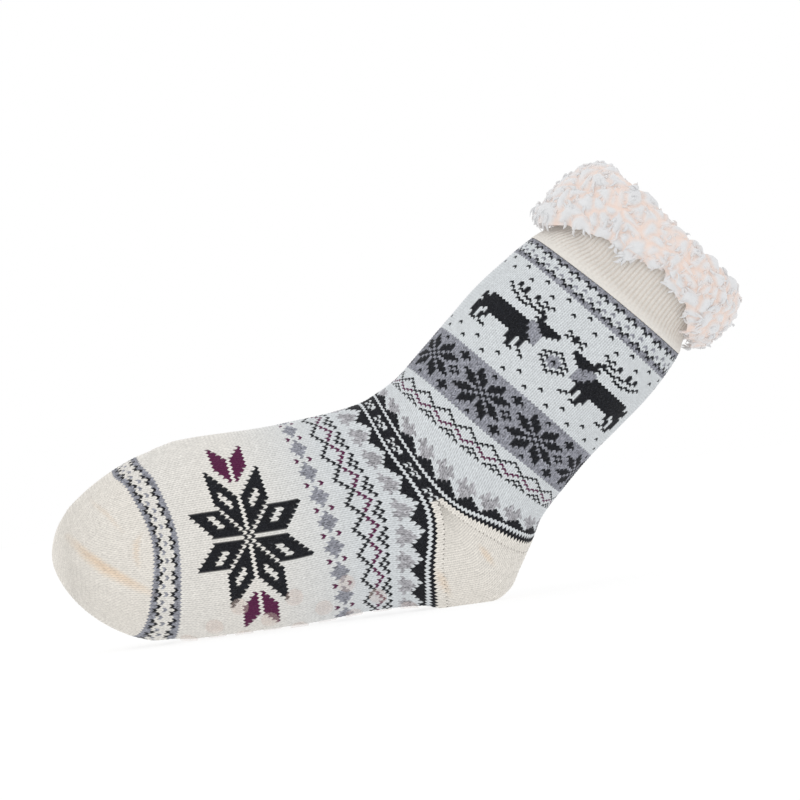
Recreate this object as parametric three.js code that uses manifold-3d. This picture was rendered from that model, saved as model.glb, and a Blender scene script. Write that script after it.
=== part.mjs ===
// Slipper sock: a thick knitted sock whose fleece lining turns out over the rim as a shaggy
// collar, with round rubber grip dots under the foot. Millimetres, +Z up, toe towards -X,
// the origin on the floor under the heel.

import * as THREE from 'three';
import { mergeVertices } from 'three/addons/utils/BufferGeometryUtils.js';
import Module from 'manifold-3d';

const wasm = await Module();
wasm.setup();

// Driving sizes of the foot
const FOOT_LENGTH = 242; // toe tip to the back of the heel
const FOOT_HEIGHT = 101; // floor to the top of the forefoot
const FOOT_WIDTH = 66; // across the ball
const TOE_DEPTH = 54; // length of the rounding over the toes
const TOE_ROUNDNESS = 1.7; // exponent of the toe's outline, 2 for an ellipse
const FOOT_FULLNESS = 2.2; // exponent of a foot section

// Driving sizes of the leg
const LEG_LENGTH = 140; // ankle to knitted rim, along the leg
const LEG_DEPTH = 99; // front to back across the leg
const LEG_WIDTH = 60; // side to side across the leg
const LEG_SLOPE = THREE.MathUtils.degToRad(38.4); // rise of the leg above the floor
const LEG_FULLNESS = 2.25; // exponent of a leg section

// Wall and clearances
const WALL = 4; // knitted fabric with its bonded pile lining
const CLEARANCE = 0.3; // between pieces that touch

// Fleece collar
const COLLAR_THICKNESS = 9.5; // outer arm at the sides, without its clumps
const COLLAR_FLARE = 6; // how much thicker it is in front and behind
const COLLAR_HEIGHT = 32; // top of the roll to the lower edge, at the sides
const COLLAR_RISE = 12.5; // top of the roll above the knitted rim
const COLLAR_FRONT_DROOP = 14; // how much lower the collar hangs in front
const COLLAR_BACK_DROOP = 7; // how much lower it hangs behind
const LINING_THICKNESS = 5; // inner arm
const LINING_DEPTH = 15; // inner arm below the knitted rim
const CLUMP_COUNT = 36;
const CLUMP_RADIUS = 7.8;

// Grip dots
const GRIP_DIAMETER = 9.4;
const GRIP_RISE = 1.2; // how far a dot stands out of the knitted sole
const GRIP_PITCH = 27.8; // from dot to dot along the foot
const GRIP_ROW_SPACING = 10.6; // from row to row around the sole
const GRIP_START = -0.581; // foremost dot, as a share of the foot's length
const GRIP_EDGE = 0.4; // height of a dot's rounded edge

// Fineness of the solids
const ROUND_STEPS = 32;
const TOE_STEPS = 7;
const OUTSIDE_STEP = 13; // longest facet along the outside of the sock
const INSIDE_STEP = 26; // and along its inside
const COLLAR_STEPS = 36;
const GRIP_SIDES = 10;

// Foot sections, from the toes to the back of the heel. topX and soleX are shares of the foot's
// length from the heel's rest, topZ and lift shares of its height, half and press shares of its
// width. onGrip is 1 where the grip dots carry the sole and 0 where the knit itself rests; lift
// is added to that, and press is how deep the section is flattened by what it rests on.
const FOOT_SECTIONS = [
  { at: 'toe band', topX: -0.62, topZ: 0.968, soleX: -0.62, onGrip: 1, lift: 0.014, half: 0.455, press: 0.02 },
  { at: 'toe joints', topX: -0.558, topZ: 0.994, soleX: -0.556, onGrip: 1, lift: 0, half: 0.49, press: 0.045 },
  { at: 'ball', topX: -0.488, topZ: 1, soleX: -0.486, onGrip: 1, lift: 0, half: 0.5, press: 0.05 },
  { at: 'behind ball', topX: -0.42, topZ: 1, soleX: -0.416, onGrip: 1, lift: 0, half: 0.495, press: 0.05 },
  { at: 'front arch', topX: -0.356, topZ: 1.004, soleX: -0.348, onGrip: 1, lift: 0, half: 0.48, press: 0.045 },
  { at: 'arch', topX: -0.306, topZ: 1.014, soleX: -0.28, onGrip: 1, lift: 0.008, half: 0.46, press: 0.035 },
  { at: 'rear arch', topX: -0.252, topZ: 1.024, soleX: -0.208, onGrip: 1, lift: 0.02, half: 0.44, press: 0.035 },
  { at: 'instep', topX: -0.198, topZ: 1.042, soleX: -0.142, onGrip: 1, lift: 0.02, half: 0.43, press: 0.04 },
  { at: 'heel front', topX: -0.166, topZ: 1.058, soleX: -0.094, onGrip: 1, lift: 0.013, half: 0.425, press: 0.05 },
  { at: 'heel rest front', topX: -0.151, topZ: 1.072, soleX: -0.05, onGrip: 0, lift: 0, half: 0.42, press: 0.07 },
  { at: 'heel rest', topX: -0.138, topZ: 1.086, soleX: 0, onGrip: 0, lift: 0, half: 0.42, press: 0.07 },
  { at: 'heel rest back', topX: -0.128, topZ: 1.098, soleX: 0.047, onGrip: 0, lift: 0, half: 0.42, press: 0.06 },
  { at: 'heel turn', topX: -0.119, topZ: 1.108, soleX: 0.089, onGrip: 0, lift: 0.047, half: 0.42, press: 0.02 },
  { at: 'heel back', topX: -0.111, topZ: 1.119, soleX: 0.118, onGrip: 0, lift: 0.144, half: 0.422, press: 0 },
  { at: 'heel top', topX: -0.103, topZ: 1.13, soleX: 0.147, onGrip: 0, lift: 0.26, half: 0.426, press: 0 },
];

// Leg sections, square to the leg, from the ankle to the rim. rise is a share of the leg's
// length, front and back shares of its depth, half a share of its width.
const LEG_SECTIONS = [
  { at: 'ankle', rise: 0, front: 0.458, back: 0.562, half: 0.478 },
  { at: 'lower leg', rise: 0.143, front: 0.467, back: 0.536, half: 0.488 },
  { at: 'flake band', rise: 0.286, front: 0.479, back: 0.522, half: 0.497 },
  { at: 'deer', rise: 0.43, front: 0.49, back: 0.525, half: 0.5 },
  { at: 'upper leg', rise: 0.571, front: 0.479, back: 0.525, half: 0.5 },
  { at: 'cuff band', rise: 0.68, front: 0.462, back: 0.51, half: 0.495 },
  { at: 'cuff swell', rise: 0.77, front: 0.43, back: 0.482, half: 0.48 },
  { at: 'rib start', rise: 0.808, front: 0.398, back: 0.455, half: 0.445 },
  { at: 'rib', rise: 0.86, front: 0.39, back: 0.442, half: 0.432 },
  { at: 'rim', rise: 1, front: 0.394, back: 0.442, half: 0.437 },
];

// Where the leg's axis starts, over the heel
const ANKLE = new THREE.Vector3(0.03 * FOOT_LENGTH, 0, 0.803 * FOOT_HEIGHT);
const LEG_AXIS = new THREE.Vector3(Math.cos(LEG_SLOPE), 0, Math.sin(LEG_SLOPE));
const LEG_BACKWARD = new THREE.Vector3(Math.sin(LEG_SLOPE), 0, -Math.cos(LEG_SLOPE));

// Each section as lengths in millimetres
const sections = [
  ...FOOT_SECTIONS.map((row) => ({
    topX: row.topX * FOOT_LENGTH,
    topZ: row.topZ * FOOT_HEIGHT,
    soleX: row.soleX * FOOT_LENGTH,
    soleZ: row.onGrip * GRIP_RISE + row.lift * FOOT_HEIGHT,
    half: row.half * FOOT_WIDTH,
    press: row.press * FOOT_WIDTH,
    fullness: FOOT_FULLNESS,
  })),
  ...LEG_SECTIONS.map((row) => {
    const middle = ANKLE.clone().addScaledVector(LEG_AXIS, row.rise * LEG_LENGTH);
    const front = middle.clone().addScaledVector(LEG_BACKWARD, -row.front * LEG_DEPTH);
    const back = middle.clone().addScaledVector(LEG_BACKWARD, row.back * LEG_DEPTH);
    return {
      topX: front.x,
      topZ: front.z,
      soleX: back.x,
      soleZ: back.z,
      half: row.half * LEG_WIDTH,
      press: 0,
      fullness: LEG_FULLNESS,
    };
  }),
];

// The run of each section: the distance along the sock from the first one, halfway between
// its top line and its sole line
const runs = [0];
for (let i = 1; i < sections.length; i += 1) {
  const a = sections[i - 1];
  const b = sections[i];
  const alongTop = Math.hypot(b.topX - a.topX, b.topZ - a.topZ);
  const alongSole = Math.hypot(b.soleX - a.soleX, b.soleZ - a.soleZ);
  runs.push(runs[i - 1] + (alongTop + alongSole) / 2);
}
const RIM_RUN = runs[runs.length - 1];

// A smooth curve through the values of one column that never swings past a value
function columnCurve(column) {
  const values = sections.map((row) => row[column]);
  const last = values.length - 1;
  const step = (i) => (values[i + 1] - values[i]) / (runs[i + 1] - runs[i]);
  const slopes = values.map((value, i) => {
    if (i === 0 || i === last) return step(i === 0 ? 0 : last - 1);
    const before = step(i - 1);
    const after = step(i);
    return before * after > 0 ? (2 * before * after) / (before + after) : 0;
  });
  return (run) => {
    let i = 0;
    while (i < last - 1 && run > runs[i + 1]) i += 1;
    const width = runs[i + 1] - runs[i];
    const t = (run - runs[i]) / width;
    const s = 1 - t;
    return (
      values[i] * s * s * (1 + 2 * t) +
      values[i + 1] * t * t * (3 - 2 * t) +
      slopes[i] * width * t * s * s -
      slopes[i + 1] * width * t * t * s
    );
  };
}

const curve = Object.fromEntries(
  ['topX', 'topZ', 'soleX', 'soleZ', 'half', 'press', 'fullness'].map((name) => [name, columnCurve(name)]),
);

// A power that keeps the sign
function signedPower(value, exponent) {
  return Math.sign(value) * Math.abs(value) ** exponent;
}

// A point of the sock's outside, moved out by offset. turn goes round from the top line. Past
// the rim the surface goes straight on along the leg. toe, from 0 to 1, goes over the rounding
// of the toes, where run is 0.
function sockPoint(run, turn, offset = 0, toe = 0) {
  const knitRun = Math.min(run, RIM_RUN);
  const at = Object.fromEntries(Object.keys(curve).map((name) => [name, curve[name](knitRun)]));
  const up = new THREE.Vector3(at.topX - at.soleX, 0, at.topZ - at.soleZ);
  const height = up.length();
  up.normalize();
  const reach = (height + at.press) / 2;
  const middle = new THREE.Vector3(at.topX, 0, at.topZ).addScaledVector(up, -reach);
  const rounding = 2 / TOE_ROUNDNESS;
  const shrink = Math.cos((toe * Math.PI) / 2) ** rounding;
  const point = middle.addScaledVector(up, (reach + offset) * shrink * signedPower(Math.cos(turn), 2 / at.fullness));
  point.y = (at.half + offset) * shrink * signedPower(Math.sin(turn), 2 / at.fullness);
  point.x -= (TOE_DEPTH + offset) * Math.sin((toe * Math.PI) / 2) ** rounding;
  point.z = Math.max(point.z, at.soleZ - offset);
  return point.addScaledVector(LEG_AXIS, run - knitRun);
}

// The runs of a surface's rings: one at each section, and more between where the top or the
// sole is longer than a step
function ringRuns(longest) {
  const list = [0];
  for (let i = 1; i < sections.length; i += 1) {
    const a = sections[i - 1];
    const b = sections[i];
    const alongTop = Math.hypot(b.topX - a.topX, b.topZ - a.topZ);
    const alongSole = Math.hypot(b.soleX - a.soleX, b.soleZ - a.soleZ);
    const count = Math.ceil(Math.max(alongTop, alongSole) / longest);
    for (let k = 1; k <= count; k += 1) {
      list.push(THREE.MathUtils.lerp(runs[i - 1], runs[i], k / count));
    }
  }
  return list;
}

// The rings of a surface at one offset, from behind the toe tip to a distance past the rim
function sockRings(offset, longest, past) {
  const ring = (run, toe) => {
    const points = [];
    for (let i = 0; i < ROUND_STEPS; i += 1) {
      points.push(sockPoint(run, (2 * Math.PI * i) / ROUND_STEPS, offset, toe));
    }
    return points;
  };
  const rings = [];
  for (let i = TOE_STEPS - 1; i > 0; i -= 1) rings.push(ring(0, i / TOE_STEPS));
  for (const run of ringRuns(longest)) rings.push(ring(run === RIM_RUN ? run + past : run, 0));
  return rings;
}

// A closed body through rings of equal length, closed at each end by a point
function bodyThroughRings(rings, firstPoint, lastPoint) {
  const size = rings[0].length;
  const positions = [firstPoint, ...rings.flat(), lastPoint].flatMap((p) => [p.x, p.y, p.z]);
  const end = 1 + rings.length * size;
  const indices = [];
  for (let i = 0; i < size; i += 1) {
    const j = (i + 1) % size;
    indices.push(0, 1 + j, 1 + i);
    for (let k = 0; k < rings.length - 1; k += 1) {
      const here = 1 + k * size;
      const next = here + size;
      indices.push(here + i, next + j, next + i, here + i, here + j, next + j);
    }
    const here = end - size;
    indices.push(here + i, here + j, end);
  }
  const geometry = new THREE.BufferGeometry();
  geometry.setAttribute('position', new THREE.Float32BufferAttribute(positions, 3));
  geometry.setIndex(indices);
  return geometry;
}

function toeTip(offset) {
  return sockPoint(0, 0, offset, 1);
}

// The wall of the sock, from the tip of its inside round the rim to the tip of its outside,
// grown by a margin on every side
function sockWall(margin = 0) {
  const inner = -WALL - margin;
  const inside = sockRings(inner, INSIDE_STEP, margin);
  const outside = sockRings(margin, OUTSIDE_STEP, margin).reverse();
  return bodyThroughRings([...inside, ...outside], toeTip(inner), toeTip(margin));
}

function toManifold(geometry) {
  const bare = geometry.clone();
  bare.deleteAttribute('normal');
  bare.deleteAttribute('uv');
  const merged = mergeVertices(bare, 1e-4);
  const mesh = new wasm.Mesh({
    numProp: 3,
    vertProperties: Float32Array.from(merged.attributes.position.array),
    triVerts: Uint32Array.from(merged.index.array),
  });
  return new wasm.Manifold(mesh);
}

function toGeometry(solid) {
  const mesh = solid.getMesh();
  const geometry = new THREE.BufferGeometry();
  geometry.setAttribute('position', new THREE.BufferAttribute(Float32Array.from(mesh.vertProperties), 3));
  geometry.setIndex(new THREE.BufferAttribute(Uint32Array.from(mesh.triVerts), 1));
  return geometry;
}

// The room that the sock needs, which its neighbours are cut by
const sockRoom = toManifold(sockWall(CLEARANCE));

// How far a direction around the leg faces a centre, from 0 to 1
function facing(turn, centre) {
  return Math.max(0, Math.cos(turn - centre)) ** 2;
}

// The lower edge of the collar, measured along the leg from the knitted rim
function collarEdge(turn) {
  const droop = COLLAR_FRONT_DROOP * facing(turn, 0) + COLLAR_BACK_DROOP * facing(turn, Math.PI);
  return COLLAR_RISE - COLLAR_HEIGHT - droop;
}

function collarThickness(turn) {
  return COLLAR_THICKNESS + COLLAR_FLARE * Math.cos(turn) ** 2;
}

// The roll of the collar as a ring with a rounded section, from its inner edge over the top to
// its outer edge
function collarRoll() {
  const inner = -WALL - LINING_THICKNESS;
  const rings = [];
  for (let i = 0; i < COLLAR_STEPS; i += 1) {
    const turn = (2 * Math.PI * i) / COLLAR_STEPS;
    const edge = collarEdge(turn);
    const middle = (edge + COLLAR_RISE) / 2;
    const outer = collarThickness(turn);
    const outline = [
      [inner + 0.5, -LINING_DEPTH],
      [inner, -LINING_DEPTH / 2],
      [inner, 0],
      [inner * 0.75, COLLAR_RISE * 0.7],
      [inner * 0.3, COLLAR_RISE * 0.95],
      [outer * 0.2, COLLAR_RISE],
      [outer * 0.6, COLLAR_RISE * 0.75],
      [outer * 0.85, COLLAR_RISE * 0.2],
      [outer, middle],
      [outer * 0.9, edge * 0.8 + COLLAR_RISE * 0.2],
      [outer * 0.5, edge],
      [-WALL / 2, edge + 2],
      [-WALL / 2, -LINING_DEPTH],
    ];
    rings.push(outline.map(([across, rise]) => sockPoint(RIM_RUN + rise, turn, across)));
  }
  return closedTube(rings);
}

// A closed ring-shaped body through sections that follow each other round
function closedTube(rings) {
  const size = rings[0].length;
  const positions = rings.flat().flatMap((p) => [p.x, p.y, p.z]);
  const indices = [];
  for (let k = 0; k < rings.length; k += 1) {
    const here = k * size;
    const next = ((k + 1) % rings.length) * size;
    for (let i = 0; i < size; i += 1) {
      const j = (i + 1) % size;
      indices.push(here + i, next + j, here + j, here + i, next + i, next + j);
    }
  }
  const geometry = new THREE.BufferGeometry();
  geometry.setAttribute('position', new THREE.Float32BufferAttribute(positions, 3));
  geometry.setIndex(indices);
  return geometry;
}

// One clump of pile: a squat drop seated in the roll's outer skin
function clump(index) {
  const golden = (Math.sqrt(5) - 1) / 2;
  const share = (index + 0.5) / CLUMP_COUNT;
  const turn = 2 * Math.PI * ((index * golden) % 1);
  const edge = collarEdge(turn);
  const rise = THREE.MathUtils.lerp(edge + 3, COLLAR_RISE - CLUMP_RADIUS / 2, share);
  const size = CLUMP_RADIUS * (0.85 + 0.2 * Math.sin(5 * index));
  const across = collarThickness(turn) * (0.62 - 0.35 * share ** 3);
  const geometry = new THREE.IcosahedronGeometry(size, 1);
  geometry.scale(1.25, 0.95, 0.95);
  geometry.rotateY(-LEG_SLOPE + 0.5 * Math.sin(3 * index));
  const place = sockPoint(RIM_RUN + rise, turn, across);
  geometry.translate(place.x, place.y, place.z);
  return geometry;
}

function fleeceCollar() {
  let solid = toManifold(collarRoll());
  for (let i = 0; i < CLUMP_COUNT; i += 1) solid = solid.add(toManifold(clump(i)));
  return toGeometry(solid.subtract(sockRoom));
}

// The run at which the sole line passes a place along the floor
function runOverFloor(x) {
  let low = 0;
  let high = RIM_RUN;
  for (let i = 0; i < 40; i += 1) {
    const middle = (low + high) / 2;
    if (curve.soleX(middle) < x) low = middle;
    else high = middle;
  }
  return (low + high) / 2;
}

// The turn at which the skin is a given distance round from the sole line
function turnFromSole(run, distance) {
  const stride = 0.01;
  let turn = Math.PI;
  let walked = 0;
  let last = sockPoint(run, turn);
  while (walked < Math.abs(distance)) {
    turn -= stride * Math.sign(distance);
    const point = sockPoint(run, turn);
    walked += point.distanceTo(last);
    last = point;
  }
  return turn;
}

// A round dot printed on the knit: its back is cut by the sole, its face is flat with a
// rounded edge
function gripDot(x, distance) {
  const radius = GRIP_DIAMETER / 2;
  const layers = [
    { reach: radius * 0.95, height: -CLEARANCE },
    { reach: radius, height: GRIP_RISE - GRIP_EDGE },
    { reach: radius * 0.9, height: GRIP_RISE },
  ];
  const place = (along, around, height) => {
    const run = runOverFloor(x + along);
    return sockPoint(run, turnFromSole(run, distance + around), height);
  };
  const rings = layers.map(({ reach, height }) => {
    const ring = [];
    for (let i = 0; i < GRIP_SIDES; i += 1) {
      const angle = (-2 * Math.PI * i) / GRIP_SIDES;
      ring.push(place(reach * Math.cos(angle), reach * Math.sin(angle), height));
    }
    return ring;
  });
  const dot = bodyThroughRings(rings, place(0, 0, -CLEARANCE), place(0, 0, GRIP_RISE));
  return toGeometry(toManifold(dot).subtract(sockRoom));
}

// The rows of dots: beside is counted in row spacings from the sole line, and shift in pitches
const GRIP_ROWS = [
  { beside: 0, shift: 0.5, count: 4 },
  { beside: 1, shift: 0, count: 5 },
  { beside: -1, shift: 0, count: 5 },
  { beside: 2, shift: 0.5, count: 4 },
  { beside: -2, shift: 0.5, count: 4 },
  { beside: 3, shift: 1, count: 3 },
  { beside: -3, shift: 1, count: 3 },
];

const KNIT = new THREE.MeshStandardMaterial({ color: 0xe9e4da, roughness: 0.9, metalness: 0 });
const FLEECE = new THREE.MeshStandardMaterial({ color: 0xf3e6df, roughness: 1, metalness: 0 });
const RUBBER = new THREE.MeshStandardMaterial({ color: 0x8f98b4, roughness: 0.35, metalness: 0 });

function addPiece(group, name, geometry, material) {
  geometry.computeVertexNormals();
  const mesh = new THREE.Mesh(geometry, material.clone());
  mesh.name = name;
  group.add(mesh);
}

const sock = new THREE.Group();
addPiece(sock, 'knit_upper', sockWall(), KNIT);
addPiece(sock, 'fleece_collar', fleeceCollar(), FLEECE);
let dotNumber = 0;
for (const { beside, shift, count } of GRIP_ROWS) {
  for (let i = 0; i < count; i += 1) {
    dotNumber += 1;
    const x = GRIP_START * FOOT_LENGTH + (shift + i) * GRIP_PITCH;
    const name = `grip_dot_${String(dotNumber).padStart(2, '0')}`;
    addPiece(sock, name, gripDot(x, beside * GRIP_ROW_SPACING), RUBBER);
  }
}

export default sock;
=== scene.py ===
"""The looks of the slipper sock: patterned knit stitch by stitch, ribbed cuff, shaggy fleece
collar, pile lining and grip dots. Blender units are metres, lengths below are millimetres."""

import math

import bpy
import numpy as np
from mathutils import Matrix, Vector


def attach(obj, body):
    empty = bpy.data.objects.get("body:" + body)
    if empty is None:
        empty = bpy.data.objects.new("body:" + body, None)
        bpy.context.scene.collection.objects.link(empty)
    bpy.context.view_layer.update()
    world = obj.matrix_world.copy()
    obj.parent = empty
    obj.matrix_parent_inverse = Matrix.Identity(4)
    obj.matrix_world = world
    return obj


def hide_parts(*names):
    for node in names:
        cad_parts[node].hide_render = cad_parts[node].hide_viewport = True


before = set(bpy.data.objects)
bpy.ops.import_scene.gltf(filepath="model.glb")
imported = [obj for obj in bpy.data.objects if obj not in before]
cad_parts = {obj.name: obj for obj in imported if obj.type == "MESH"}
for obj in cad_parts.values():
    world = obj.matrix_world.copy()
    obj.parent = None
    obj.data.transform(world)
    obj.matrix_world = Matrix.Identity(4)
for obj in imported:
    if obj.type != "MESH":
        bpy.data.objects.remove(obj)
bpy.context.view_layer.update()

MM = 0.001

# Wales are the columns of stitches round the sock, courses are its rows
WALES = 120
HALF_WALES = WALES // 2

# Driving sizes of the sock
FOOT_LENGTH = 242.0
FOOT_HEIGHT = 101.0
FOOT_WIDTH = 66.0
TOE_DEPTH = 54.0
TOE_ROUNDNESS = 1.7
FOOT_FULLNESS = 2.2
LEG_LENGTH = 140.0
LEG_DEPTH = 99.0
LEG_WIDTH = 60.0
LEG_SLOPE = math.radians(38.4)
LEG_FULLNESS = 2.25
WALL = 4.0
GRIP_RISE = 1.2

LEG_AXIS = np.array([math.cos(LEG_SLOPE), math.sin(LEG_SLOPE)])
LEG_BACKWARD = np.array([math.sin(LEG_SLOPE), -math.cos(LEG_SLOPE)])

# Foot sections from the toe band to the back of the heel: top line x and z, sole line x, knit
# carried by the dots, lift, half width, press. x by foot length, z and lift by foot height,
# widths by foot width.
FOOT_SECTIONS = [
    (-0.62, 0.968, -0.62, 1, 0.014, 0.455, 0.02),
    (-0.558, 0.994, -0.556, 1, 0, 0.49, 0.045),
    (-0.488, 1, -0.486, 1, 0, 0.5, 0.05),
    (-0.42, 1, -0.416, 1, 0, 0.495, 0.05),
    (-0.356, 1.004, -0.348, 1, 0, 0.48, 0.045),
    (-0.306, 1.014, -0.28, 1, 0.008, 0.46, 0.035),
    (-0.252, 1.024, -0.208, 1, 0.02, 0.44, 0.035),
    (-0.198, 1.042, -0.142, 1, 0.02, 0.43, 0.04),
    (-0.166, 1.058, -0.094, 1, 0.013, 0.425, 0.05),
    (-0.151, 1.072, -0.05, 0, 0, 0.42, 0.07),
    (-0.138, 1.086, 0, 0, 0, 0.42, 0.07),
    (-0.128, 1.098, 0.047, 0, 0, 0.42, 0.06),
    (-0.119, 1.108, 0.089, 0, 0.047, 0.42, 0.02),
    (-0.111, 1.119, 0.118, 0, 0.144, 0.422, 0),
    (-0.103, 1.13, 0.147, 0, 0.26, 0.426, 0),
]

# Leg sections from the ankle to the rim: rise, front, back, half width
LEG_SECTIONS = [
    (0, 0.458, 0.562, 0.478),
    (0.143, 0.467, 0.536, 0.488),
    (0.286, 0.479, 0.522, 0.497),
    (0.43, 0.49, 0.525, 0.5),
    (0.571, 0.479, 0.525, 0.5),
    (0.68, 0.462, 0.51, 0.495),
    (0.77, 0.43, 0.482, 0.48),
    (0.808, 0.398, 0.455, 0.445),
    (0.86, 0.39, 0.442, 0.432),
    (1, 0.394, 0.442, 0.437),
]


def section_rows():
    """Each section as lengths: top x, top z, sole x, sole z, half width, press, fullness."""
    rows = []
    for top_x, top_z, sole_x, on_grip, lift, half, press in FOOT_SECTIONS:
        sole_z = on_grip * GRIP_RISE + lift * FOOT_HEIGHT
        rows.append((top_x * FOOT_LENGTH, top_z * FOOT_HEIGHT, sole_x * FOOT_LENGTH, sole_z,
                     half * FOOT_WIDTH, press * FOOT_WIDTH, FOOT_FULLNESS))
    ankle = np.array([0.03 * FOOT_LENGTH, 0.803 * FOOT_HEIGHT])
    for rise, front, back, half in LEG_SECTIONS:
        middle = ankle + LEG_AXIS * rise * LEG_LENGTH
        top = middle - LEG_BACKWARD * front * LEG_DEPTH
        sole = middle + LEG_BACKWARD * back * LEG_DEPTH
        rows.append((top[0], top[1], sole[0], sole[1], half * LEG_WIDTH, 0, LEG_FULLNESS))
    return np.array(rows)


class SmoothCurve:
    """A smooth curve through a table of values that never swings past a value."""

    def __init__(self, places, values):
        self.places = np.asarray(places, float)
        self.values = np.asarray(values, float)
        widths = np.diff(self.places).reshape(-1, *[1] * (self.values.ndim - 1))
        steps = np.diff(self.values, axis=0) / widths
        before, after = steps[:-1], steps[1:]
        total = np.where(before + after == 0, 1, before + after)
        inner = np.where(before * after > 0, 2 * before * after / total, 0)
        self.slopes = np.concatenate([steps[:1], inner, steps[-1:]])

    def __call__(self, place):
        place = np.clip(place, self.places[0], self.places[-1])
        i = np.clip(np.searchsorted(self.places, place, side="right") - 1, 0, len(self.places) - 2)
        width = self.places[i + 1] - self.places[i]
        t = (place - self.places[i]) / width
        if self.values.ndim > 1:
            t, width = t[..., None], width[..., None]
        s = 1 - t
        return (self.values[i] * s * s * (1 + 2 * t) + self.values[i + 1] * t * t * (3 - 2 * t)
                + self.slopes[i] * width * t * s * s - self.slopes[i + 1] * width * t * t * s)


SECTIONS = section_rows()
STEPS = np.diff(SECTIONS, axis=0)
RUNS = np.concatenate([[0], np.cumsum((np.hypot(STEPS[:, 0], STEPS[:, 1])
                                       + np.hypot(STEPS[:, 2], STEPS[:, 3])) / 2)])
RIM_RUN = RUNS[-1]
SECTION_CURVE = SmoothCurve(RUNS, SECTIONS)


def signed_power(value, exponent):
    """A power that keeps the sign of its value."""
    return np.sign(value) * np.abs(value) ** exponent


def sock_point(run, turn, offset=0.0):
    """Points of the sock's outside, moved out by offset. Negative runs go over the toes, and
    past the rim the surface goes straight on along the leg."""
    run, turn, offset = np.broadcast_arrays(*[np.asarray(a, float) for a in (run, turn, offset)])
    at = SECTION_CURVE(np.clip(run, 0, RIM_RUN))
    up = at[..., 0:2] - at[..., 2:4]
    height = np.hypot(up[..., 0], up[..., 1])
    up = up / height[..., None]
    reach = (height + at[..., 5]) / 2
    middle = at[..., 0:2] - up * reach[..., None]
    over_toes = np.clip(-run / TOE_DEPTH, 0, 1)
    shrink = (1 - over_toes ** TOE_ROUNDNESS) ** (1 / TOE_ROUNDNESS)
    power = 2 / at[..., 6]
    side = middle + up * ((reach + offset) * shrink * signed_power(np.cos(turn), power))[..., None]
    past = np.maximum(run - RIM_RUN, 0)
    x = side[..., 0] - (TOE_DEPTH + offset) * over_toes + LEG_AXIS[0] * past
    y = -(at[..., 4] + offset) * shrink * signed_power(np.sin(turn), power)
    z = np.maximum(side[..., 1], at[..., 3] - offset) + LEG_AXIS[1] * past
    return np.stack([x, y, z], -1)


# Wales run from the top line (wale 0) over the near side to the sole line (wale 60) and back
# up the far side. On the leg those that face the side are drawn a little wider, those at front
# and back narrower, and the change comes in along the ankle.
TURN_STEPS = np.linspace(0, math.pi, 241)
WALE_STOPS = np.linspace(0, HALF_WALES, 121)
TABLE_RUNS = np.concatenate([-TOE_DEPTH * np.linspace(0.999, 0.02, 40), np.linspace(0, RIM_RUN, 161)])
LEG_WALES = SmoothCurve((0, 7, 30, 53, 60), (0, 5.7, 30, 54.7, 60))(WALE_STOPS)
ANKLE_RUN = 110.0
ANKLE_LENGTH = 60.0


def turns_of_wales():
    """A table of turns, one row to a section and one column to a wale stop, with wales equally
    wide round each section of the foot."""
    around = sock_point(TABLE_RUNS[:, None], TURN_STEPS[None, :])
    steps = np.linalg.norm(np.diff(around, axis=1), axis=2)
    lengths = np.concatenate([np.zeros((len(TABLE_RUNS), 1)), np.cumsum(steps, axis=1)], axis=1)
    wales = lengths / lengths[:, -1:] * HALF_WALES
    on_leg = np.clip((TABLE_RUNS - ANKLE_RUN) / ANKLE_LENGTH, 0, 1)
    return np.array([np.interp(WALE_STOPS + (LEG_WALES - WALE_STOPS) * share, passed, TURN_STEPS)
                     for share, passed in zip(on_leg, wales)])


WALE_TURNS = turns_of_wales()


def from_top_line(wale):
    """A wale counted from the top line, the same on the near and the far side."""
    return np.abs((wale + HALF_WALES) % WALES - HALF_WALES)


def wale_turn(run, wale):
    """The turn at which a wale runs through a section."""
    run, wale = np.broadcast_arrays(np.asarray(run, float), np.asarray(wale, float))
    row = np.interp(run, TABLE_RUNS, np.arange(len(TABLE_RUNS)))
    column = from_top_line(wale) / HALF_WALES * (len(WALE_STOPS) - 1)
    r0 = np.clip(row.astype(int), 0, len(TABLE_RUNS) - 2)
    c0 = np.clip(column.astype(int), 0, len(WALE_STOPS) - 2)
    r, c = row - r0, column - c0
    turn = ((1 - r) * (1 - c) * WALE_TURNS[r0, c0] + (1 - r) * c * WALE_TURNS[r0, c0 + 1]
            + r * (1 - c) * WALE_TURNS[r0 + 1, c0] + r * c * WALE_TURNS[r0 + 1, c0 + 1])
    near = (wale % WALES) <= HALF_WALES
    return np.where(near, turn, -turn)


# Courses in each panel
TOE_ROWS = 30
FOOT_ROWS = 79
HEEL_ROWS = 26
LEG_ROWS = 89

# The wales whose course runs are known: five, or six where a course bends sharply over the top
LINE_WALES = (0, 15, 30, 45, 60)
BENT_LINE_WALES = (0, 7.5, 15, 30, 45, 60)

# Runs of the courses that two panels share
TOE_BAND_FRONT = (-20.2, -18.2, -10.3, -1.3, -7.4, -20.5)
HEEL_TURN_FOOT = (126, 133, 141.5, 131, 126)
HEEL_TURN_LEG = (126, 133, 142, 153.5, 161.5)

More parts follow.
